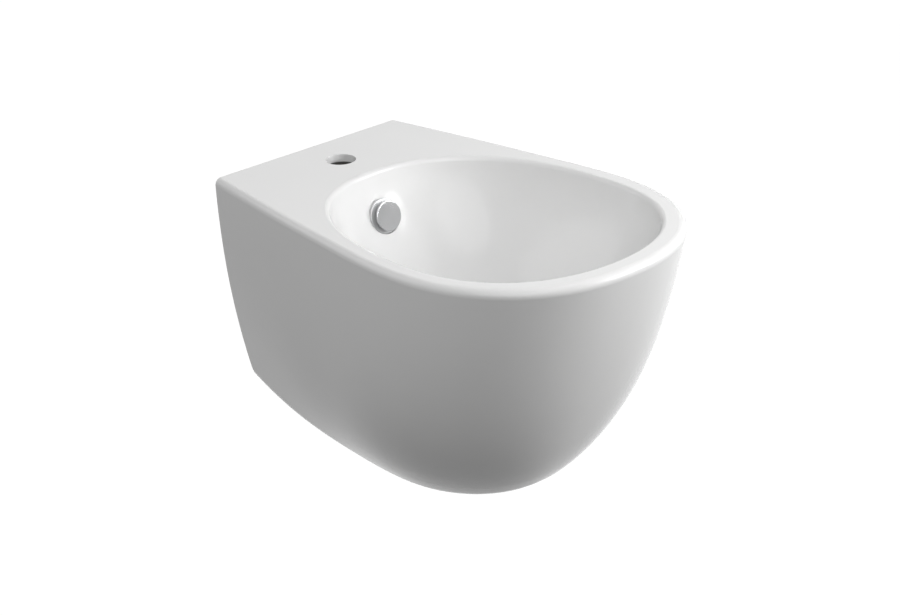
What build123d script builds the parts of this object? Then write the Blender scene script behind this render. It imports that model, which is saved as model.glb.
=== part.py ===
from build123d import *
import math
import os

os.makedirs("parts", exist_ok=True)

# Wall-hung bidet in vitreous china, with its overflow cover, click waste, trap and wall fixings.
# The wall is the plane Y = 0 and the bowl stands out towards -Y. +Z is up, +X is right from the front.
# The origin is halfway between the two wall fixings. Heights are given as depths below the rim.

# China body, seen from above
rim_width = 360.0
wall_width = 273.0
reach = 520.0
widest_y = 336.0
front_roundness = 2.22
side_swell = 1.32

# China body, how each line of the plan draws in with depth
fixing_drop = 80.0
body_depth = 300.0
wall_rise = 31.0
underside_run = 202.0
front_lean_margin = 53.0
front_lean_power = 0.96
front_lean_root = 5.9
side_lean_margin = 71.0
side_lean_power = 4.0
wall_lean_margin = 211.0
wall_lean_power = 2.05
plan_follow_power = 0.93
outer_edge_radius = 8.0
bottom_edge_radius = 30.0
wall_overrun = 4.0

# China thicknesses
wall_thickness = 11.0
deck_thickness = 16.0
back_thickness = 14.0

# Bowl
bowl_back = 116.0
front_rim = 29.0
side_rim = 25.0
bowl_widest = 335.0
bowl_roundness = 2.25
trap_space = 160.0
bowl_wall_power = 1.6
floor_behind = 49.0
floor_before = 69.0
floor_width = 112.0
bowl_lip_radius = 5.0

# Tap hole and the openings for pipes
tap_hole_radius = 17.5
tap_hole_setback = 58.0
portal_width = 126.0
portal_top = 80.0
portal_corner = 24.0
service_front = 276.0

# Overflow
overflow_depth = 50.0
overflow_sink = 0.24
overflow_tilt = 15.0
overflow_hole_radius = 12.5
overflow_seat_clearance = 0.5
duct_width = 24.0
duct_gap = 13.0
duct_wall = 8.0
duct_rise = 24.0

# Waste hole
waste_setback = 275.0
waste_hole_clearance = 2.05
throat_radius = 38.0
throat_length = 38.0
flange_seat_clearance = 1.0
flange_seat_depth = 5.0

# Wall fixings, M12 at the usual 180 mm
fixing_spacing = 180.0
stud_radius = 5.92
stud_neck_radius = 5.4
stud_neck_length = 16.0
plug_thread_radius = 6.1
plug_thread_length = 45.0
fixing_hole_radius = 9.0
boss_radius = 20.0
boss_length = 28.0
bush_clearance = 0.2
bush_collar_radius = 15.0
bush_collar = 3.0
washer_radius = 17.0
washer_thickness = 2.5
nut_flats = 19.0
nut_height = 10.0
stud_tail = 8.0

# Overflow trim
collar_radius = 20.5
collar_thickness = 2.0
sleeve_clearance = 0.3
sleeve_wall = 1.8
sleeve_length = 16.0
seal_groove = 0.9
seal_width = 2.6
cover_radius = 17.2
cover_thickness = 2.4
cover_standoff = 5.2
leg_thickness = 1.4
leg_width = 5.0
leg_reach = 9.0
leg_count = 3

# Waste fitting, thread G 1 1/4
thread_radius = 20.95
thread_clearance = 0.1
waste_wall = 2.55
mouth_flare = 3.6
mouth_depth = 6.0
flange_radius = 33.0
flange_thickness = 3.0
tail_length = 28.0
slot_width = 11.0
slot_drop = 8.0
slot_height = 15.0
slot_count = 4
cross_drop = 27.0
cross_height = 6.0
cross_bar = 3.5
cartridge_radius = 7.5
cartridge_drop = 9.0
cartridge_height = 34.0
cartridge_wall = 1.2
cartridge_end = 2.0
cartridge_shoulder = 4.0
upper_seal_thickness = 2.0
lower_seal_radius = 34.0
lower_seal_thickness = 5.0
ring_thickness = 2.0
backnut_flats = 60.0
backnut_height = 9.0

# Plug of the waste and its click movement
plug_radius = 31.0
plug_edge = 3.0
plug_crown = 2.4
plug_lift = 9.0
plug_gap = 0.3
gasket_radius = 27.0
gasket_width = 3.0
gasket_height = 2.2
stem_radius = 3.0
stem_head_radius = 5.0
stem_head_height = 4.0
stem_boss_radius = 6.5
stem_boss_length = 10.0
running_clearance = 0.05
spring_wire = 0.5
spring_turns = 6

# Trap, 32 mm tube
tube_radius = 16.0
tube_wall = 1.5
bend_radius = 30.0
wall_bend_radius = 26.0
inlet_nut_radius = 27.0
inlet_nut_lap = 10.0
nut_lip = 3.5
tube_flange = 2.0
joint_washer = 2.5
trap_gap = 1.0
socket_wall = 3.4
socket_rise = 3.0
socket_length = 13.0
socket_clearance = 0.2
union_nut_radius = 25.5
union_nut_length = 18.0
cone_washer = 4.0
outlet_length = 40.0
grip_count = 12
grip_radius = 2.2


def height(depth):
    """Height in the part's frame of a point that lies this far below the rim."""
    return fixing_drop - depth


def hull_line(depth, inset=0.0):
    """Plan outline of the china at one depth: a wall line and one smooth curve round the front."""
    front_share = depth / (body_depth + front_lean_margin)
    side_share = depth / (body_depth + side_lean_margin)
    wall_share = depth / (body_depth + wall_lean_margin)
    front = reach * (1 - front_share ** front_lean_power) ** (1 / front_lean_root)
    side = rim_width / 2 * (1 - side_share ** side_lean_power)
    at_wall = min(wall_width / 2 * (1 - wall_share ** wall_lean_power), side)
    turn = widest_y * (front / reach) ** plan_follow_power
    flare = side_swell * (side - at_wall) / turn
    right = [(at_wall - flare * wall_overrun - inset, wall_overrun)]
    for share in (0.0, 0.2, 0.45, 0.7):
        width = at_wall + (side - at_wall) * (1 - (1 - share) ** side_swell)
        right.append((width - inset, -turn * share))
    for angle in (0, 18, 36, 52, 66, 79):
        across = math.cos(math.radians(angle)) ** (2 / front_roundness)
        along = math.sin(math.radians(angle)) ** (2 / front_roundness)
        right.append(((side - inset) * across, -turn - (front - inset - turn) * along))
    left = [(-x, y) for x, y in reversed(right)]
    return right, [(0, inset - front)], left


def hull_face(depth, inset=0.0):
    """The same outline as a face, closed by a straight line along the wall."""
    right, nose, left = hull_line(depth, inset)
    with BuildSketch(Plane.XY.offset(height(depth))) as section:
        with BuildLine():
            Spline(*right, *nose, *left)
            Line(left[-1], right[0])
        make_face()
    return section.sketch


def between(at_rim, at_floor, share):
    """Where the bowl's wall stands at a share of its depth, between its rim and its floor."""
    drawn_in = 1 - (1 - share ** bowl_wall_power) ** (1 / bowl_wall_power)
    return at_rim + (at_floor - at_rim) * drawn_in


def bowl_face(share, outset=0.0):
    """Plan outline of the bowl at a share of its depth, drawn outwards for its outer skins."""
    back = between(bowl_back, floor_back, share) - outset
    front = between(bowl_front, floor_front, share) + outset
    side = between(bowl_width, floor_width, share) / 2 + outset
    widest = between(bowl_widest, waste_setback, share)
    points = []
    for angle in range(0, 360, 20):
        across = math.cos(math.radians(angle))
        along = math.sin(math.radians(angle))
        half = back - widest if along > 0 else front - widest
        x = math.copysign(abs(across) ** (2 / bowl_roundness), across) * side
        y = -widest - abs(along) ** (2 / bowl_roundness) * half
        points.append((x, y))
    with BuildSketch(Plane.XY.offset(height(share * (bowl_depth + outset)))) as section:
        with BuildLine():
            Spline(*points, periodic=True)
        make_face()
    return section.sketch


def underside(rise):
    """Side profile of what lies below the body: level at the front, climbing towards the wall."""
    low = height(body_depth) + rise
    high = height(wall_depth) + rise
    beyond = 2 * wall_overrun
    with BuildSketch(Plane.YZ.offset(-rim_width / 2)) as section:
        with BuildLine():
            Line((-reach, low), (-underside_run, low))
            TangentArc((-underside_run, low), (0, high), tangent=(1, 0))
            Polyline((0, high), (beyond, high), (beyond, low - reach), (-reach, low - reach), (-reach, low))
        make_face()
    return section.sketch


def waste_level(depth):
    """Level plane on the axis of the waste, this far below the rim."""
    return Plane(origin=(0, -waste_setback, height(depth)), x_dir=(1, 0, 0), z_dir=(0, 0, 1))


def riser_level(depth):
    """Level plane on the axis of the trap's rising leg, this far below the rim."""
    return Plane(origin=(0, -riser_setback, height(depth)), x_dir=(1, 0, 0), z_dir=(0, 0, 1))


hull_depths = [body_depth * step / 60 for step in (0, 9, 19, 29, 38, 46, 53)]
hull_depths += [body_depth - 6, body_depth + 22]
bowl_shares = (0, 0.2, 0.4, 0.6, 0.75, 0.87, 0.95, 0.985, 1.0)
wall_depth = body_depth - wall_rise
bowl_front = reach - front_rim
bowl_width = rim_width - 2 * side_rim
bowl_depth = body_depth - trap_space
floor_back = waste_setback - floor_behind
floor_front = waste_setback + floor_before
waste_axis = Axis((0, -waste_setback, 0), (0, 0, 1))
waste_plane = Plane.XZ.offset(waste_setback)
riser_setback = waste_setback - 2 * bend_radius
tilt = math.radians(overflow_tilt)
overflow_seat = between(bowl_back, floor_back, overflow_depth / bowl_depth) + overflow_sink
overflow_plane = Plane(
    origin=(0, -overflow_seat, height(overflow_depth)),
    x_dir=(1, 0, 0),
    z_dir=(0, -math.cos(tilt), math.sin(tilt)),
)
overflow_axis = Axis(overflow_plane.origin, overflow_plane.z_dir)
flange_seat = bowl_depth + flange_seat_depth
flange_bottom = flange_seat - upper_seal_thickness
flange_top = flange_bottom - flange_thickness
throat_bottom = bowl_depth + throat_length
waste_hole_radius = thread_radius + waste_hole_clearance
duct_top = overflow_depth - duct_rise

# Space inside the china, one wall in from the outer form on every side
with BuildPart() as hollow:
    loft([hull_face(depth, wall_thickness) for depth in hull_depths])
    extrude(underside(wall_thickness), amount=rim_width, dir=(1, 0, 0), mode=Mode.SUBTRACT)
    split(bisect_by=Plane.XZ.offset(back_thickness), keep=Keep.TOP)
    lower_edges = hollow.faces().filter_by(GeomType.CYLINDER).edges().filter_by(GeomType.BSPLINE)
    fillet(lower_edges, bottom_edge_radius - wall_thickness)
    split(bisect_by=Plane.XY.offset(height(deck_thickness)), keep=Keep.BOTTOM)

# Skins drawn round the bowl: its own inside and outside, and the two faces of the overflow duct
bowl_skins = {}
for outset in (0.0, wall_thickness, wall_thickness + duct_gap, wall_thickness + duct_gap + duct_wall):
    with BuildPart() as skin:
        loft([bowl_face(share, outset) for share in bowl_shares])
    bowl_skins[outset] = skin.part

# Overflow duct, moulded on the back of the bowl and running down to the waste hole
with BuildPart() as duct_shell:
    with BuildSketch(Plane.XY.offset(height(duct_top))):
        with Locations((0, -waste_setback / 2)):
            Rectangle(duct_width + 2 * duct_wall, waste_setback)
    extrude(amount=-throat_bottom)
    add(bowl_skins[wall_thickness + duct_gap + duct_wall], mode=Mode.INTERSECT)
with BuildPart() as duct_hollow:
    with BuildSketch(Plane.XY.offset(height(duct_top + duct_wall))):
        with Locations((0, -waste_setback / 2)):
            Rectangle(duct_width, waste_setback)
    extrude(amount=-throat_bottom)
    add(bowl_skins[wall_thickness + duct_gap], mode=Mode.INTERSECT)
    add(bowl_skins[wall_thickness], mode=Mode.SUBTRACT)

# Vitreous china body: rim, deck, bowl, skirt, duct and fixing bosses in one casting
with BuildPart() as ceramic_body:
    loft([hull_face(depth) for depth in hull_depths])
    extrude(underside(0), amount=rim_width, dir=(1, 0, 0), mode=Mode.SUBTRACT)
    split(bisect_by=Plane.XZ, keep=Keep.TOP)
    lower_edges = ceramic_body.faces().filter_by(GeomType.CYLINDER).edges().filter_by(GeomType.BSPLINE)
    fillet(lower_edges, bottom_edge_radius)
    rim_edges = ceramic_body.faces().sort_by(Axis.Z)[-1].edges()
    fillet(rim_edges.filter_by(GeomType.BSPLINE), outer_edge_radius)
    add(hollow.part, mode=Mode.SUBTRACT)
    add(bowl_skins[wall_thickness])
    add(duct_shell.part)
    with BuildSketch(Plane.XY.offset(height(bowl_depth))):
        with Locations((0, -waste_setback)):
            Circle(throat_radius)
    extrude(amount=bowl_depth - throat_bottom)
    add(bowl_skins[0.0], mode=Mode.SUBTRACT)
    add(duct_hollow.part, mode=Mode.SUBTRACT)
    lip = ceramic_body.faces().sort_by(Axis.Z)[-1].inner_wires()[0].edges()
    fillet(lip, bowl_lip_radius)
    with BuildSketch(Plane.XY.offset(height(0))):
        with Locations((0, -tap_hole_setback)):
            Circle(tap_hole_radius)
    extrude(amount=-deck_thickness, mode=Mode.SUBTRACT)
    with BuildSketch(Plane.XY.offset(height(flange_seat))):
        with Locations((0, -waste_setback)):
            Circle(flange_radius + flange_seat_clearance)
    extrude(amount=flange_seat_depth, mode=Mode.SUBTRACT)
    with BuildSketch(Plane.XY.offset(height(flange_seat))):
        with Locations((0, -waste_setback)):
            Circle(waste_hole_radius)
    extrude(amount=flange_seat - throat_bottom, mode=Mode.SUBTRACT)
    with BuildSketch(overflow_plane):
        Circle(collar_radius + overflow_seat_clearance)
    extrude(amount=wall_thickness, mode=Mode.SUBTRACT)
    with BuildSketch(overflow_plane):
        Circle(overflow_hole_radius)
    extrude(amount=-wall_thickness - duct_gap / 2, mode=Mode.SUBTRACT)
    with BuildSketch(Plane.XZ.offset(back_thickness)):
        with GridLocations(fixing_spacing, 1, 2, 1):
            Circle(boss_radius)
    extrude(amount=boss_length - back_thickness)
    with BuildSketch(Plane.XZ):
        with GridLocations(fixing_spacing, 1, 2, 1):
            Circle(fixing_hole_radius)
    extrude(amount=boss_length, mode=Mode.SUBTRACT)
    portal_height = body_depth - portal_top
    with BuildSketch(Plane.XZ):
        with Locations((0, height(portal_top) - portal_height / 2)):
            RectangleRounded(portal_width, portal_height, portal_corner)
    extrude(amount=back_thickness, mode=Mode.SUBTRACT)
    with BuildSketch(Plane.XY.offset(height(wall_depth - wall_thickness - bottom_edge_radius))):
        with Locations((0, (portal_corner - service_front) / 2)):
            RectangleRounded(portal_width, service_front + portal_corner, portal_corner)
    extrude(amount=-body_depth, mode=Mode.SUBTRACT)
ceramic_body.part.label = "ceramic_body"
export_step(ceramic_body.part, "parts/ceramic_body.step")

# Overflow collar: a flanged sleeve pushed into the overflow hole, with a groove for its seal
sleeve_radius = overflow_hole_radius - sleeve_clearance
groove_bottom = sleeve_radius - seal_groove
with BuildPart() as overflow_collar:
    with BuildSketch(overflow_plane):
        Circle(collar_radius)
    extrude(amount=collar_thickness)
    fillet(overflow_collar.faces().sort_by(overflow_axis)[-1].edges(), collar_thickness / 2)
    with BuildSketch(overflow_plane):
        Circle(sleeve_radius)
    extrude(amount=-sleeve_length)
    with BuildSketch(overflow_plane.offset(-wall_thickness / 2)):
        Circle(sleeve_radius)
        Circle(groove_bottom, mode=Mode.SUBTRACT)
    extrude(amount=-seal_width, mode=Mode.SUBTRACT)
    with BuildSketch(overflow_plane.offset(collar_thickness)):
        Circle(sleeve_radius - sleeve_wall)
    extrude(amount=-sleeve_length - collar_thickness, mode=Mode.SUBTRACT)
overflow_collar.part.label = "overflow_collar"
export_step(overflow_collar.part, "parts/overflow_collar.step")

# Rubber ring that grips the china inside the overflow hole
with BuildPart() as overflow_seal:
    with BuildSketch(overflow_plane.offset(-wall_thickness / 2)):
        Circle(overflow_hole_radius - running_clearance)
        Circle(groove_bottom, mode=Mode.SUBTRACT)
    extrude(amount=-seal_width)
overflow_seal.part.label = "overflow_seal"
export_step(overflow_seal.part, "parts/overflow_seal.step")

# Overflow cover: a plain disc that stands off the collar on three spring legs
leg_outside = sleeve_radius - sleeve_wall - running_clearance
with BuildPart() as overflow_cover:
    with BuildSketch(overflow_plane.offset(collar_thickness + cover_standoff)):
        Circle(cover_radius)
    extrude(amount=cover_thickness)
    disc_face = overflow_cover.faces().sort_by(overflow_axis)[-1]
    fillet(disc_face.edges(), cover_thickness / 3)
    with BuildSketch(overflow_plane.offset(-leg_reach)):
        with PolarLocations(leg_outside, leg_count, start_angle=90):
            Rectangle(leg_thickness * 2, leg_width)
        Circle(leg_outside, mode=Mode.INTERSECT)
        Circle(leg_outside - leg_thickness, mode=Mode.SUBTRACT)
    extrude(amount=leg_reach + collar_thickness + cover_standoff)
overflow_cover.part.label = "overflow_cover"
export_step(overflow_cover.part, "parts/overflow_cover.step")

# Waste body: seat flange and threaded tube in one brass turning, with overflow slots and a cross
waste_bore_radius = thread_radius - waste_wall
tail_end = throat_bottom + tail_length
slot_bottom = flange_bottom + slot_drop + slot_height
cross_depth = flange_bottom + cross_drop
with BuildPart() as waste_body:
    with BuildSketch(waste_plane):
        with BuildLine():
            Polyline(
                (waste_bore_radius, height(tail_end)),
                (thread_radius, height(tail_end)),
                (thread_radius, height(flange_bottom)),
                (flange_radius, height(flange_bottom)),
                (flange_radius, height(flange_top)),
                (waste_bore_radius + mouth_flare, height(flange_top)),
                (waste_bore_radius, height(flange_top + mouth_depth)),
                close=True,
            )
        make_face()
    revolve(axis=waste_axis)
    with BuildSketch(waste_level(slot_bottom)):
        with PolarLocations(thread_radius, slot_count):
            Rectangle(2 * (thread_radius - waste_bore_radius) + 2, slot_width)
    extrude(amount=slot_height, mode=Mode.SUBTRACT)
    with BuildSketch(waste_level(cross_depth + cross_height)):
        with PolarLocations(waste_bore_radius / 2, slot_count):
            Rectangle(waste_bore_radius + 1, cross_bar)
        Circle(cartridge_radius + cross_bar / 2)
        Circle(cartridge_radius + running_clearance, mode=Mode.SUBTRACT)
    extrude(amount=cross_height)
waste_body.part.label = "waste_body"
export_step(waste_body.part, "parts/waste_body.step")

# Flat seal between the flange and the china
with BuildPart() as waste_upper_seal:
    with BuildSketch(waste_level(flange_seat)):
        Circle(flange_radius - 1)
        Circle(waste_hole_radius, mode=Mode.SUBTRACT)
    extrude(amount=upper_seal_thickness)
waste_upper_seal.part.label = "waste_upper_seal"
export_step(waste_upper_seal.part, "parts/waste_upper_seal.step")

# Thick seal under the china, with a lip that centres itself in the waste hole
with BuildPart() as waste_lower_seal:
    with BuildSketch(waste_level(throat_bottom)):
        Circle(lower_seal_radius)
        Circle(thread_radius + thread_clearance, mode=Mode.SUBTRACT)
    extrude(amount=-lower_seal_thickness)
    chamfer(waste_lower_seal.faces().sort_by(Axis.Z)[0].outer_wire().edges(), lower_seal_thickness / 3)
waste_lower_seal.part.label = "waste_lower_seal"
export_step(waste_lower_seal.part, "parts/waste_lower_seal.step")

# Slip ring that keeps the turning nut from dragging the seal
slip_ring_level = throat_bottom + lower_seal_thickness
with BuildPart() as waste_slip_ring:
    with BuildSketch(waste_level(slip_ring_level)):
        Circle(lower_seal_radius - lower_seal_thickness / 3)
        Circle(thread_radius + thread_clearance, mode=Mode.SUBTRACT)
    extrude(amount=-ring_thickness)
waste_slip_ring.part.label = "waste_slip_ring"
export_step(waste_slip_ring.part, "parts/waste_slip_ring.step")

# Backnut that clamps the waste body to the china
with BuildPart() as waste_backnut:
    with BuildSketch(waste_level(slip_ring_level + ring_thickness)):
        RegularPolygon(radius=backnut_flats / 2, side_count=6, major_radius=False)
        Circle(thread_radius + thread_clearance, mode=Mode.SUBTRACT)
    extrude(amount=-backnut_height)
waste_backnut.part.label = "waste_backnut"
export_step(waste_backnut.part, "parts/waste_backnut.step")

# Click cartridge: a guide for the plug's stem, screwed into the cross of the waste body
cartridge_top = flange_bottom + cartridge_drop
cartridge_bottom = cartridge_top + cartridge_height
with BuildPart() as cartridge:
    with BuildSketch(waste_plane):
        with BuildLine():
            Polyline(
                (stem_radius + running_clearance, height(cartridge_top)),
                (cartridge_radius, height(cartridge_top)),
                (cartridge_radius, height(cross_depth - cartridge_shoulder)),
                (cartridge_radius + cross_bar / 2, height(cross_depth - cartridge_shoulder)),
                (cartridge_radius + cross_bar / 2, height(cross_depth)),
                (cartridge_radius, height(cross_depth)),
                (cartridge_radius, height(cartridge_bottom)),
                (0, height(cartridge_bottom)),
                (0, height(cartridge_bottom - cartridge_end)),
                (cartridge_radius - cartridge_wall, height(cartridge_bottom - cartridge_end)),
                (cartridge_radius - cartridge_wall, height(cartridge_top + cartridge_end)),
                (stem_radius + running_clearance, height(cartridge_top + cartridge_end)),
                close=True,
            )
        make_face()
    revolve(axis=waste_axis)
cartridge.part.label = "cartridge"
export_step(cartridge.part, "parts/cartridge.step")

# Plug stem: screws into the cap, and its head is held inside the cartridge
plug_base = flange_top - plug_gap - gasket_height / 2
head_top = cartridge_top + cartridge_end + plug_gap + plug_lift
head_bottom = head_top + stem_head_height
with BuildPart() as plug_stem:
    with BuildSketch(waste_level(head_bottom)):
        Circle(stem_head_radius)
    extrude(amount=stem_head_height)
    with BuildSketch(waste_level(head_top)):
        Circle(stem_radius)
    extrude(amount=head_top - plug_base)
plug_stem.part.label = "plug_stem"
export_step(plug_stem.part, "parts/plug_stem.step")

# Cartridge spring, squeezed while the plug is shut
spring_bottom = cartridge_bottom - cartridge_end
spring_height = spring_bottom - head_bottom - 2 * spring_wire
with BuildPart() as cartridge_spring:
    with BuildLine():
        coil = Helix(
            pitch=spring_height / spring_turns,
            height=spring_height,
            radius=stem_head_radius - spring_wire,
            center=(0, -waste_setback, height(spring_bottom) + spring_wire),
        )
    with BuildSketch(Plane(origin=coil @ 0, z_dir=coil % 0)):
        Circle(spring_wire)
    sweep(is_frenet=True)
cartridge_spring.part.label = "cartridge_spring"
export_step(cartridge_spring.part, "parts/cartridge_spring.step")

# Plug cap: a low crowned disc over the flange, with a boss for the stem and a groove for the gasket
with BuildPart() as plug_cap:
    with BuildSketch(waste_plane) as cap_profile:
        with BuildLine():
            Line((0, height(plug_base)), (plug_radius, height(plug_base)))
            Line((plug_radius, height(plug_base)), (plug_radius, height(plug_base - plug_edge)))
            TangentArc(
                (0, height(plug_base - plug_edge - plug_crown)),
                (plug_radius, height(plug_base - plug_edge)),
                tangent=(1, 0),
            )
            Line((0, height(plug_base - plug_edge - plug_crown)), (0, height(plug_base)))
        make_face()
        fillet(cap_profile.vertices().group_by(Axis.X)[-1], plug_edge / 3)
    revolve(axis=waste_axis)
    with BuildSketch(waste_level(plug_base)):
        Circle(gasket_radius)
        Circle(gasket_radius - gasket_width, mode=Mode.SUBTRACT)
    extrude(amount=gasket_height / 2, mode=Mode.SUBTRACT)
    with BuildSketch(waste_level(plug_base)):
        Circle(stem_boss_radius)
        Circle(stem_radius + running_clearance, mode=Mode.SUBTRACT)
    extrude(amount=-stem_boss_length)
plug_cap.part.label = "plug_cap"
export_step(plug_cap.part, "parts/plug_cap.step")

# Rubber gasket under the cap
with BuildPart() as plug_gasket:
    with BuildSketch(waste_level(plug_base + gasket_height / 2)):
        Circle(gasket_radius)
        Circle(gasket_radius - gasket_width, mode=Mode.SUBTRACT)
    extrude(amount=gasket_height)
plug_gasket.part.label = "plug_gasket"
export_step(plug_gasket.part, "parts/plug_gasket.step")

# Inlet nut of the trap: runs up the tail thread and lifts the tube flange against its washer
bend_top = tail_end + joint_washer
inlet_nut_bottom = bend_top + tube_flange + nut_lip
with BuildPart() as trap_inlet_nut:
    with BuildSketch(waste_level(tail_end - inlet_nut_lap)):
        Circle(inlet_nut_radius)
        with PolarLocations(inlet_nut_radius, grip_count):
            Circle(grip_radius)
    extrude(amount=tail_end - inlet_nut_lap - inlet_nut_bottom)
    with BuildSketch(waste_level(tail_end - inlet_nut_lap)):
        Circle(thread_radius + thread_clearance)
    extrude(amount=tail_end - inlet_nut_lap - inlet_nut_bottom + nut_lip, mode=Mode.SUBTRACT)
    with BuildSketch(waste_level(inlet_nut_bottom)):
        Circle(tube_radius + socket_clearance)
    extrude(amount=nut_lip, mode=Mode.SUBTRACT)
trap_inlet_nut.part.label = "trap_inlet_nut"
export_step(trap_inlet_nut.part, "parts/trap_inlet_nut.step")

# Flat washer between the tail of the waste and the trap
with BuildPart() as trap_inlet_washer:
    with BuildSketch(waste_level(bend_top)):
        Circle(thread_radius)
        Circle(tube_radius - tube_wall, mode=Mode.SUBTRACT)
    extrude(amount=joint_washer)
trap_inlet_washer.part.label = "trap_inlet_washer"
export_step(trap_inlet_washer.part, "parts/trap_inlet_washer.step")

# Trap bend: a flanged 32 mm tube turned through a half circle, with a threaded socket on its way up
u_depth = body_depth - wall_thickness - trap_gap - tube_radius - bend_radius
socket_radius = tube_radius + socket_clearance + socket_wall
socket_bottom = u_depth - socket_rise
socket_top = socket_bottom - socket_length
with BuildPart() as trap_bend:
    with BuildLine(Plane.YZ) as trap_route:
        Line((-waste_setback, height(bend_top)), (-waste_setback, height(u_depth)))
        CenterArc((bend_radius - waste_setback, height(u_depth)), bend_radius, 180, 180)
        Line((-riser_setback, height(u_depth)), (-riser_setback, height(socket_bottom)))
    with BuildSketch(waste_level(bend_top)):
        Circle(tube_radius)
    sweep(path=trap_route.line)
    with BuildSketch(waste_level(bend_top)):
        Circle(thread_radius)
    extrude(amount=-tube_flange)
    with BuildSketch(riser_level(socket_bottom + tube_wall)):
        Circle(socket_radius)
    extrude(amount=socket_bottom + tube_wall - socket_top)
    with BuildSketch(waste_level(bend_top)):
        Circle(tube_radius - tube_wall)
    sweep(path=trap_route.line, mode=Mode.SUBTRACT)
    with BuildSketch(riser_level(socket_bottom)):
        Circle(tube_radius + socket_clearance)
    extrude(amount=socket_bottom - socket_top, mode=Mode.SUBTRACT)
trap_bend.part.label = "trap_bend"
export_step(trap_bend.part, "parts/trap_bend.step")

# Wall tube: rises out of the socket, turns level and runs through the portal into the wall
union_nut_top = socket_top - cone_washer - nut_lip
outlet_depth = union_nut_top - wall_bend_radius
with BuildPart() as wall_tube:
    with BuildLine(Plane.YZ) as wall_route:
        Line((-riser_setback, height(socket_bottom - tube_wall)), (-riser_setback, height(union_nut_top)))
        CenterArc((wall_bend_radius - riser_setback, height(union_nut_top)), wall_bend_radius, 180, -90)
        Line((wall_bend_radius - riser_setback, height(outlet_depth)), (outlet_length, height(outlet_depth)))
    with BuildSketch(riser_level(socket_bottom - tube_wall)):
        Circle(tube_radius)
        Circle(tube_radius - tube_wall, mode=Mode.SUBTRACT)
    sweep(path=wall_route.line)
wall_tube.part.label = "wall_tube"
export_step(wall_tube.part, "parts/wall_tube.step")

# Cone washer that seals the wall tube in the socket
with BuildPart() as trap_union_washer:
    with BuildSketch(riser_level(socket_top)):
        Circle(socket_radius)
        Circle(tube_radius, mode=Mode.SUBTRACT)
    extrude(amount=cone_washer)
    chamfer(trap_union_washer.faces().sort_by(Axis.Z)[-1].outer_wire().edges(), cone_washer / 3)
trap_union_washer.part.label = "trap_union_washer"
export_step(trap_union_washer.part, "parts/trap_union_washer.step")

# Union nut: pulls the cone washer down onto the socket
with BuildPart() as trap_union_nut:
    with BuildSketch(riser_level(union_nut_top)):
        Circle(union_nut_radius)
        with PolarLocations(union_nut_radius, grip_count):
            Circle(grip_radius)
        Circle(tube_radius + socket_clearance, mode=Mode.SUBTRACT)
    extrude(amount=-union_nut_length)
    with BuildSketch(riser_level(union_nut_top + nut_lip)):
        Circle(socket_radius + thread_clearance)
    extrude(amount=nut_lip - union_nut_length, mode=Mode.SUBTRACT)
trap_union_nut.part.label = "trap_union_nut"
export_step(trap_union_nut.part, "parts/trap_union_nut.step")

# Wall studs: hanger bolts with a thread for the wall plug, a plain neck and an M12 thread for the nut
stud_end = boss_length + bush_collar + washer_thickness + nut_height + stud_tail
with BuildPart() as wall_studs:
    with BuildSketch(Plane.XZ.offset(-plug_thread_length)):
        with GridLocations(fixing_spacing, 1, 2, 1):
            Circle(plug_thread_radius)
    extrude(amount=plug_thread_length)
    with BuildSketch(Plane.XZ):
        with GridLocations(fixing_spacing, 1, 2, 1):
            Circle(stud_neck_radius)
    extrude(amount=stud_neck_length)
    with BuildSketch(Plane.XZ.offset(stud_neck_length)):
        with GridLocations(fixing_spacing, 1, 2, 1):
            Circle(stud_radius)
    extrude(amount=stud_end - stud_neck_length)
    rings = wall_studs.edges().filter_by(GeomType.CIRCLE).group_by(Axis.Y)
    chamfer(rings[0] + rings[-1], stud_radius / 6)
wall_studs.part.label = "wall_studs"
export_step(wall_studs.part, "parts/wall_studs.step")

# Plastic bushes that keep the studs off the china
with BuildPart() as fixing_bushes:
    with BuildSketch(Plane.XZ.offset(bush_collar)):
        with GridLocations(fixing_spacing, 1, 2, 1):
            Circle(fixing_hole_radius - bush_clearance)
    extrude(amount=boss_length - bush_collar)
    with BuildSketch(Plane.XZ.offset(boss_length)):
        with GridLocations(fixing_spacing, 1, 2, 1):
            Circle(bush_collar_radius)
    extrude(amount=bush_collar)
    with BuildSketch(Plane.XZ.offset(bush_collar)):
        with GridLocations(fixing_spacing, 1, 2, 1):
            Circle(stud_radius + bush_clearance)
    extrude(amount=boss_length, mode=Mode.SUBTRACT)
fixing_bushes.part.label = "fixing_bushes"
export_step(fixing_bushes.part, "parts/fixing_bushes.step")

# Steel washers
with BuildPart() as fixing_washers:
    with BuildSketch(Plane.XZ.offset(boss_length + bush_collar)):
        with GridLocations(fixing_spacing, 1, 2, 1):
            Circle(washer_radius)
            Circle(stud_radius + bush_clearance, mode=Mode.SUBTRACT)
    extrude(amount=washer_thickness)
fixing_washers.part.label = "fixing_washers"
export_step(fixing_washers.part, "parts/fixing_washers.step")

# Nuts on the studs
with BuildPart() as fixing_nuts:
    with BuildSketch(Plane.XZ.offset(boss_length + bush_collar + washer_thickness)):
        with GridLocations(fixing_spacing, 1, 2, 1):
            RegularPolygon(radius=nut_flats / 2, side_count=6, major_radius=False)
            Circle(stud_radius + thread_clearance, mode=Mode.SUBTRACT)
    extrude(amount=nut_height)
fixing_nuts.part.label = "fixing_nuts"
export_step(fixing_nuts.part, "parts/fixing_nuts.step")
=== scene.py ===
import math
import bmesh
import bpy
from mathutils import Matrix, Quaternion, Vector


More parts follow.
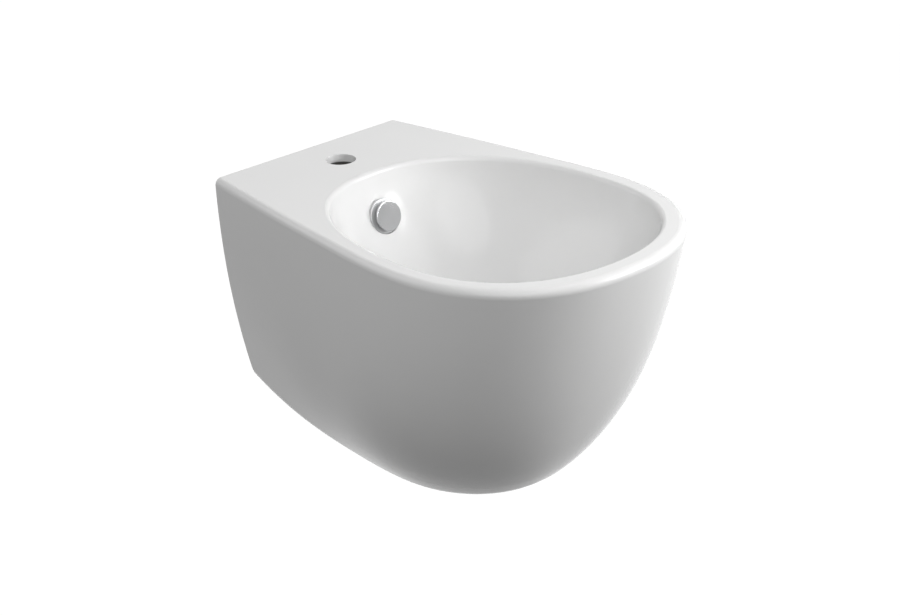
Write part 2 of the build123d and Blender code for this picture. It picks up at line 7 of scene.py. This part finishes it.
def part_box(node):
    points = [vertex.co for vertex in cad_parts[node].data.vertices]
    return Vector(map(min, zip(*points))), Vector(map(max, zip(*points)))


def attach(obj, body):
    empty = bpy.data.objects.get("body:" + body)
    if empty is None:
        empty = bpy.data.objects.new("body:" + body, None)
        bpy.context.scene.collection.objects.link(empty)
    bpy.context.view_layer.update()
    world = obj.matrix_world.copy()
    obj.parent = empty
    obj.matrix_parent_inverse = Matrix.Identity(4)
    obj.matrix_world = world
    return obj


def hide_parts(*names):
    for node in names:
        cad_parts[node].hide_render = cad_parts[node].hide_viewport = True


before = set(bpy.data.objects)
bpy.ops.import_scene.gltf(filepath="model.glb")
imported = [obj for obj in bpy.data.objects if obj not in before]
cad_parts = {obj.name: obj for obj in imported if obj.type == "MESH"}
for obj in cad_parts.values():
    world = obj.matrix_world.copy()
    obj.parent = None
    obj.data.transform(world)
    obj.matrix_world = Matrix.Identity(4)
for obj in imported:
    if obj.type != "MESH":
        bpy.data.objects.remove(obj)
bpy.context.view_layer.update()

# Camera: in front of the bidet and to its left, a little above the rim, through a long lens.
# Its place was worked out from the rim, the corners of the deck and the round tap hole.
camera_azimuth = math.radians(-41.807)
camera_elevation = math.radians(24.163)
camera_roll = math.radians(-2.193)
camera_distance = 2.4617
camera_target = Vector((0.00693, -0.22793, -0.05693))
toward_camera = Vector((
    math.sin(camera_azimuth) * math.cos(camera_elevation),
    -math.cos(camera_azimuth) * math.cos(camera_elevation),
    math.sin(camera_elevation),
))
photo_camera = bpy.data.objects.new("photo_camera", bpy.data.cameras.new("photo_camera"))
bpy.context.scene.collection.objects.link(photo_camera)
bpy.context.scene.camera = photo_camera
photo_camera.data.sensor_width = 36.0
photo_camera.data.lens = 87.86
photo_camera.location = camera_target + toward_camera * camera_distance
photo_camera.rotation_mode = "QUATERNION"
photo_camera.rotation_quaternion = toward_camera.to_track_quat("Z", "Y") @ Quaternion((0, 0, 1), camera_roll)


class Wire:
    """A shader socket. Sums on it add Math nodes, and node() adds any other node."""

    def __init__(self, tree, socket=None):
        self.tree = tree
        self.socket = socket

    def node(self, kind, settings=None, sockets=None, output=0):
        """Adds a node: its settings first, then the values or links of its sockets."""
        made = self.tree.nodes.new("ShaderNode" + kind)
        for name, value in (settings or {}).items():
            setattr(made, name, value)
        for name, value in (sockets or {}).items():
            if isinstance(value, Wire):
                self.tree.links.new(value.socket, made.inputs[name])
            else:
                made.inputs[name].default_value = value
        return Wire(self.tree, made.outputs[output] if made.outputs else None)

    def maths(self, operation, *values):
        return self.node("Math", {"operation": operation}, dict(enumerate(values)))

    def __add__(self, other):
        return self.maths("ADD", self, other)

    def __rsub__(self, other):
        return self.maths("SUBTRACT", other, self)

    def __mul__(self, other):
        return self.maths("MULTIPLY", self, other)

    def size(self):
        """The value without its sign."""
        return self.maths("ABSOLUTE", self)

    def along(self, axis):
        """One coordinate of the places that this wire carries."""
        return self.node("SeparateXYZ", {}, {0: self}, axis)

    def noise(self, scale, detail=2.0):
        """Noise with this many lumps to the metre, over the places that this wire carries."""
        return self.node("TexNoise", {}, {"Vector": self, "Scale": scale, "Detail": detail})

    def ramp(self, low, high):
        """0 below low, 1 above high, and smooth between."""
        settings = {"interpolation_type": "SMOOTHSTEP"}
        return self.node("MapRange", settings, {"Value": self, "From Min": low, "From Max": high})

    def mix(self, first, second):
        """This share of the second colour over the first."""
        return self.node("Mix", {"data_type": "RGBA"}, {0: self, 6: first, 7: second}, 2)


def tree_of(owner):
    """Clears a material's or the world's nodes and gives the wire to add new ones from."""
    owner.use_nodes = True
    owner.node_tree.nodes.clear()
    return Wire(owner.node_tree)


def seen_as_backdrop(wire):
    """1 for a ray from the camera, a reflection or a clear surface, and 0 for light that falls on things."""
    kinds = ("Is Camera Ray", "Is Glossy Ray", "Is Transmission Ray")
    directly, in_gloss, through = [wire.node("LightPath", output=kind) for kind in kinds]
    return directly + in_gloss + through


# Studio: a plain pale floor, well below the bidet because the real one hangs clear of it.
# It looks white to the camera and in the glaze, and keeps a little of the object's shadow.
floor_level = -0.32
floor_half = 4.0
floor_shadow_share = 0.12
floor_shade = (0.08, 0.08, 0.08, 1.0)
floor_glow = 1.16
air_strength = 0.12
white_light = (1.0, 1.0, 1.0, 1.0)
floor_mesh = bpy.data.meshes.new("floor")
corners = [(-floor_half, -floor_half), (floor_half, -floor_half)]
corners += [(floor_half, floor_half), (-floor_half, floor_half)]
floor_mesh.from_pydata([(x, y, floor_level) for x, y in corners], [], [(0, 1, 2, 3)])
floor = bpy.data.objects.new("floor", floor_mesh)
bpy.context.scene.collection.objects.link(floor)
floor_paint = bpy.data.materials.new("pale_floor")
floor_mesh.materials.append(floor_paint)
wire = tree_of(floor_paint)
paper = wire.node("BsdfDiffuse", {}, {"Color": floor_shade})
glow = wire.node("Emission", {}, {"Color": white_light, "Strength": floor_glow})
glowing = seen_as_backdrop(wire) * (1 - floor_shadow_share)
top_side = wire.node("MixShader", {}, {0: glowing, 1: paper, 2: glow})
seen_directly = wire.node("LightPath", output="Is Camera Ray")
from_below = wire.node("NewGeometry", output="Backfacing") * seen_directly
clear = wire.node("BsdfTransparent")
surface = wire.node("MixShader", {}, {0: from_below, 1: top_side, 2: clear})
wire.node("OutputMaterial", {}, {"Surface": surface})

world = bpy.data.worlds.new("studio_air")
bpy.context.scene.world = world
wire = tree_of(world)
air = wire.node("Background", {}, {"Color": white_light, "Strength": air_strength})
white = wire.node("Background", {}, {"Color": white_light, "Strength": 1.0})
surface = wire.node("MixShader", {}, {0: seen_as_backdrop(wire), 1: air, 2: white})
wire.node("OutputWorld", {}, {"Surface": surface})

# name, place, size in metres, power in watts
soft_lamps = [
    ("overhead_lamp", (0.0, -0.3, 2.0), 2.0, 5.8),
    ("left_front_lamp", (-1.3, -1.6, 1.3), 2.0, 19.5),
    ("right_front_lamp", (1.3, -1.6, 1.3), 2.0, 12.0),
    ("left_back_lamp", (-1.3, 1.3, 1.3), 2.0, 10.8),
    ("right_back_lamp", (1.3, 1.3, 1.3), 2.0, 5.0),
    ("near_front_lamp", (0.6, -1.25, 0.45), 0.5, 5.3),
    ("near_right_lamp", (1.1, -1.2, 0.35), 0.5, 5.4),
]
for name, place, size, power in soft_lamps:
    lamp = bpy.data.objects.new(name, bpy.data.lights.new(name, "AREA"))
    bpy.context.scene.collection.objects.link(lamp)
    lamp.data.shape = "DISK"
    lamp.data.size = size
    lamp.data.energy = power
    lamp.location = place
    lamp.rotation_mode = "QUATERNION"
    lamp.rotation_quaternion = (Vector(place) - camera_target).to_track_quat("Z", "Y")
    lamp.visible_camera = False
bpy.context.scene.view_settings.view_transform = "Standard"


def new_finish(name):
    """An empty material, and the wire of places on the object, in metres."""
    material = bpy.data.materials.new(name)
    return material, tree_of(material).node("TexCoord", output="Object")


def shade(place, sockets, height=None, depth=0.0):
    """Ends a material: one Principled shader with these sockets, and a bump of this depth in metres."""
    if height:
        sockets["Normal"] = place.node("Bump", {}, {"Distance": depth, "Height": height})
    shader = place.node("BsdfPrincipled", {}, sockets)
    place.node("OutputMaterial", {}, {"Surface": shader})


def dress(material, *nodes):
    """Gives carried-over nodes their finish, in the slots that they came with."""
    for node in nodes:
        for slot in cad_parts[node].material_slots:
            slot.material = material


def from_upright_line(place, setback):
    """Distance in metres from an upright line that stands this far out from the wall."""
    offset = place.node("VectorMath", {"operation": "ADD"}, {0: place, 1: (0.0, setback, 0.0)})
    flat = place.node("VectorMath", {"operation": "MULTIPLY"}, {0: offset, 1: (1.0, 1.0, 0.0)})
    return place.node("VectorMath", {"operation": "LENGTH"}, {0: flat}, "Value")


# China body: one slip casting in vitreous china, fired with a thick white glaze.
# The glaze is a touch uneven. The wall face and the space behind the bowl are left bare and matt.
# Down the tap hole the lower bore has painted shade: its colour is near black, to stand for the deep shadow
# there.
space_half_width = 0.112
space_depth = 0.112
space_top = 0.063
space_bottom = -0.1
tap_setback = 0.058
tap_bore_radius = 0.0185
tap_bore_top = 0.071
mask_edge = 0.001
china, place = new_finish("white_china")
depth_from_wall = place.along("Y")
level = place.along("Z")
wall_face = depth_from_wall.ramp(-0.0008, -0.0002)
under_deck = 1 - level.ramp(space_top - mask_edge / 2, space_top + mask_edge / 2)
above_foot = level.ramp(space_bottom, space_bottom + mask_edge)
behind_bowl = depth_from_wall.ramp(-space_depth - mask_edge, -space_depth)
between_sides = 1 - place.along("X").size().ramp(space_half_width, space_half_width + mask_edge)
hidden = under_deck * above_foot * behind_bowl * between_sides
bare = wall_face.maths("MAXIMUM", wall_face, hidden)
# Painted shade: below tap_bore_top the wall of the tap hole is coloured near black in place of its shadow.
in_tap_hole = 1 - from_upright_line(place, tap_setback).ramp(tap_bore_radius, tap_bore_radius + mask_edge / 2)
dark_bore = in_tap_hole * (1 - level.ramp(tap_bore_top - mask_edge / 2, tap_bore_top + mask_edge / 2))
cloud = place.noise(9.0, 3.0)
grain = place.noise(1400.0, 4.0)
glaze = cloud.mix((0.80, 0.80, 0.80, 1.0), (0.84, 0.84, 0.835, 1.0))
biscuit = grain.mix((0.70, 0.685, 0.65, 1.0), (0.80, 0.785, 0.75, 1.0))
shade(place, {
    "Base Color": dark_bore.mix(bare.mix(glaze, biscuit), (0.10, 0.098, 0.093, 1.0)),
    "Roughness": cloud * 0.04 + bare * 0.7 + 0.1,
    "IOR": 1.5,
    "Specular IOR Level": 0.3,
}, place.noise(60.0) * (1 - bare) * 0.12 + grain * bare, 0.0001)
dress(china, "ceramic_body")

# Overflow: a bright disc that hides the hole, standing on three legs in a collar with a rubber ring.
# The disc and the plug are polished and plated; the collar behind is plated but left satin.
chrome, place = new_finish("polished_chrome")
smudge = place.noise(70.0, 4.0)
shade(place, {
    "Base Color": smudge.mix((0.58, 0.59, 0.60, 1.0), (0.64, 0.64, 0.65, 1.0)),
    "Metallic": 1.0,
    "Roughness": smudge.ramp(0.35, 0.75) * 0.08 + 0.05,
}, place.noise(900.0), 0.000002)
dress(chrome, "overflow_cover", "plug_cap", "waste_body")

satin, place = new_finish("satin_chrome")
pickle = place.noise(2600.0, 3.0)
shade(place, {
    "Base Color": pickle.mix((0.58, 0.585, 0.59, 1.0), (0.66, 0.665, 0.67, 1.0)),
    "Metallic": 1.0,
    "Roughness": pickle * 0.1 + 0.6,
}, pickle, 0.00002)
dress(satin, "overflow_collar")

black_rubber, place = new_finish("black_rubber")
bloom = place.noise(35.0, 4.0)
pores = place.noise(2400.0, 3.0)
shade(place, {
    "Base Color": bloom.mix((0.018, 0.018, 0.019, 1.0), (0.05, 0.05, 0.052, 1.0)),
    "Roughness": bloom * 0.2 + 0.6,
}, pores, 0.00004)
dress(black_rubber, "overflow_seal", "plug_gasket", "trap_inlet_washer", "trap_union_washer")


# Waste: a plated brass body clamped to the china between two grey seals by a slip ring and a backnut.
# Turned brass shows the rings that the lathe leaves; the click cartridge and its spring sit inside.
waste_setback = 0.275


def lathe_rings(place, fineness):
    """Noise that runs in rings round the waste's axis, as tool marks do."""
    sockets = {"X": from_upright_line(place, waste_setback), "Y": place.along("Z")}
    return place.node("CombineXYZ", {}, sockets).noise(fineness, 3.0)


brass, place = new_finish("raw_brass")
tarnish = place.noise(90.0, 4.0)
rings = lathe_rings(place, 2200.0)
shade(place, {
    "Base Color": tarnish.ramp(0.4, 0.7).mix((0.74, 0.56, 0.27, 1.0), (0.58, 0.42, 0.22, 1.0)),
    "Metallic": 1.0,
    "Roughness": rings * 0.12 + tarnish * 0.1 + 0.2,
}, rings, 0.00003)
dress(brass, "waste_backnut", "plug_stem")

grey_rubber, place = new_finish("grey_rubber")
talc = place.noise(60.0, 4.0)
shade(place, {
    "Base Color": talc.mix((0.10, 0.105, 0.11, 1.0), (0.20, 0.205, 0.21, 1.0)),
    "Roughness": talc * 0.15 + 0.65,
}, place.noise(2200.0, 3.0), 0.00004)
dress(grey_rubber, "waste_upper_seal", "waste_lower_seal")

spring_steel, place = new_finish("spring_steel")
drawn = place.noise(1500.0, 3.0)
shade(place, {
    "Base Color": drawn.mix((0.48, 0.48, 0.49, 1.0), (0.62, 0.62, 0.63, 1.0)),
    "Metallic": 1.0,
    "Roughness": drawn * 0.15 + 0.2,
}, drawn, 0.000005)
dress(spring_steel, "cartridge_spring")

grey_plastic, place = new_finish("grey_plastic")
texture = place.noise(3200.0, 2.0)
sink = place.noise(50.0, 2.0)
shade(place, {
    "Base Color": sink.mix((0.16, 0.165, 0.17, 1.0), (0.20, 0.205, 0.21, 1.0)),
    "Roughness": sink * 0.1 + 0.42,
}, texture, 0.00002)
dress(grey_plastic, "cartridge", "fixing_bushes")

# Trap: white polypropylene, moulded with a satin skin and a fine line where the mould parts.
# Ribbed hand nuts draw the flange up to the tail of the waste and squeeze the cone washer on the wall tube.
white_plastic, place = new_finish("white_plastic")
sink = place.noise(45.0, 2.0)
shade(place, {
    "Base Color": sink.mix((0.70, 0.70, 0.68, 1.0), (0.76, 0.76, 0.74, 1.0)),
    "Roughness": sink * 0.12 + 0.38,
}, place.noise(2600.0, 2.0), 0.00002)
dress(white_plastic, "waste_slip_ring", "trap_inlet_nut", "trap_union_nut")

trap_plastic, place = new_finish("trap_plastic")
flow = place.noise(26.0, 3.0)
seam = 1 - place.along("X").size().ramp(0.0002, 0.0007)
shade(place, {
    "Base Color": flow.mix((0.72, 0.72, 0.70, 1.0), (0.78, 0.78, 0.765, 1.0)),
    "Roughness": flow * 0.12 + 0.24,
}, place.noise(1800.0, 2.0) * 0.05 + seam, 0.00025)
dress(trap_plastic, "trap_bend", "wall_tube")

# Wall fixings: zinc-plated hanger bolts, washers and nuts, with grey plastic bushes in the china.
# Each bolt has a rolled thread for the wall plug, a plain neck in the china and an M12 thread for its nut.
zinc, place = new_finish("zinc_steel")
spangle = place.node("TexVoronoi", {}, {"Vector": place, "Scale": 260.0}, "Color")
shine = spangle.along("X")
haze = place.noise(120.0, 4.0)
shade(place, {
    "Base Color": haze.mix((0.56, 0.58, 0.61, 1.0), (0.72, 0.72, 0.70, 1.0)),
    "Metallic": 1.0,
    "Roughness": shine * 0.1 + haze * 0.15 + 0.22,
}, place.noise(1600.0, 3.0), 0.00001)
dress(zinc, "fixing_washers")
fixing_half_spacing = 0.09
fixing_sides = (-fixing_half_spacing, fixing_half_spacing)


def add_loop(mesh, side, levels, radii):
    """A ring of points round one fixing's axis, each with its own level along Y and its own radius."""
    loop = []
    for step, (level, radius) in enumerate(zip(levels, radii)):
        angle = math.tau * step / len(radii)
        point = (side + radius * math.cos(angle), level, radius * math.sin(angle))
        loop.append(mesh.verts.new(point))
    return loop


def add_skin(mesh, loop_pairs):
    """Faces between each pair of neighbouring rings."""
    for below, above in loop_pairs:
        for step in range(len(below)):
            after = (step + 1) % len(below)
            mesh.faces.new((below[step], below[after], above[after], above[step]))


def finish_fixing(name, node, mesh, sharp_degrees):
    """A zinc-plated piece from this mesh, drawn in place of the plain solids of a node."""
    bmesh.ops.recalc_face_normals(mesh, faces=mesh.faces)
    for face in mesh.faces:
        face.smooth = True
    made = bpy.data.meshes.new(name)
    mesh.to_mesh(made)
    mesh.free()
    made.materials.append(zinc)
    made.set_sharp_from_angle(angle=math.radians(sharp_degrees))
    piece = bpy.data.objects.new(name, made)
    bpy.context.scene.collection.objects.link(piece)
    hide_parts(node)
    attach(piece, "body")


turn_steps = 28


def plain_ring(level, radius):
    return level, [radius] * turn_steps


def thread_rings(start, end, crest, root, pitch, rows_per_turn=8):
    """Rings of one rolled thread from start to end along Y, dying out into its root at both ends."""
    count = round(abs(end - start) / pitch * rows_per_turn)
    rings = []
    for row in range(count + 1):
        level = start + (end - start) * row / count
        run_out = min(1.0, row / rows_per_turn, (count - row) / rows_per_turn)
        radii = []
        for step in range(turn_steps):
            phase = ((level - start) / pitch + step / turn_steps) % 1.0
            flank = min(1.0, max(0.0, 1.3 - 3.0 * abs(phase - 0.5)))
            radii.append(root + (crest - root) * flank * run_out)
        rings.append((level, radii))
    return rings


bolt_low, bolt_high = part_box("wall_studs")
machine_crest, machine_root, machine_pitch = 0.00592, 0.00495, 0.00175
plug_crest, plug_root, plug_pitch = 0.0061, 0.0046, 0.0036
neck_radius, neck_end, neck_step = 0.0054, -0.016, 0.0004
tip_radius, tip_length = 0.0042, 0.0008
point_radius, point_length = 0.0012, 0.004
thread_start, thread_end = bolt_low[1] + tip_length, bolt_high[1] - point_length
bolt_rings = [plain_ring(bolt_low[1], tip_radius)]
bolt_rings += thread_rings(thread_start, neck_end, machine_crest, machine_root, machine_pitch)
bolt_rings += [plain_ring(neck_end + neck_step, neck_radius), plain_ring(-neck_step, neck_radius)]
bolt_rings += thread_rings(0.0, thread_end, plug_crest, plug_root, plug_pitch)
bolt_rings += [plain_ring(bolt_high[1], point_radius)]
bolt_mesh = bmesh.new()
for side in fixing_sides:
    loops = [add_loop(bolt_mesh, side, [level] * turn_steps, radii) for level, radii in bolt_rings]
    add_skin(bolt_mesh, zip(loops, loops[1:]))
    bolt_mesh.faces.new(loops[0][::-1])
    bolt_mesh.faces.new(loops[-1])
finish_fixing("hanger_bolts", "wall_studs", bolt_mesh, 28)

# The nut is a closed ring of loops: down its bore, across one face, round the hexagon and back.
# Its corners are turned down at 30 degrees on both faces.
nut_low, nut_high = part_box("fixing_nuts")
near, far = nut_low[1], nut_high[1]
nut_steps = 96
nut_flat_half = 0.0095
face_radius = 0.96 * nut_flat_half
bore_radius = 0.00602
bore_chamfer = 0.0006
hexagon = []
for step in range(nut_steps):
    off_flat = (math.tau * step / nut_steps) % (math.pi / 3) - math.pi / 6
    hexagon.append(nut_flat_half / math.cos(off_flat))
corner_fall = [(radius - face_radius) * math.tan(math.radians(30)) for radius in hexagon]
face = [face_radius] * nut_steps
mouth = [bore_radius + bore_chamfer] * nut_steps
bore = [bore_radius] * nut_steps
nut_loops = [
    ([near + bore_chamfer] * nut_steps, bore),
    ([near] * nut_steps, mouth),
    ([near] * nut_steps, face),
    ([near + fall for fall in corner_fall], hexagon),
    ([far - fall for fall in corner_fall], hexagon),
    ([far] * nut_steps, face),
    ([far] * nut_steps, mouth),
    ([far - bore_chamfer] * nut_steps, bore),
]
nut_mesh = bmesh.new()
for side in fixing_sides:
    loops = [add_loop(nut_mesh, side, levels, radii) for levels, radii in nut_loops]
    add_skin(nut_mesh, zip(loops, loops[1:] + loops[:1]))
finish_fixing("hexagon_nuts", "fixing_nuts", nut_mesh, 24)
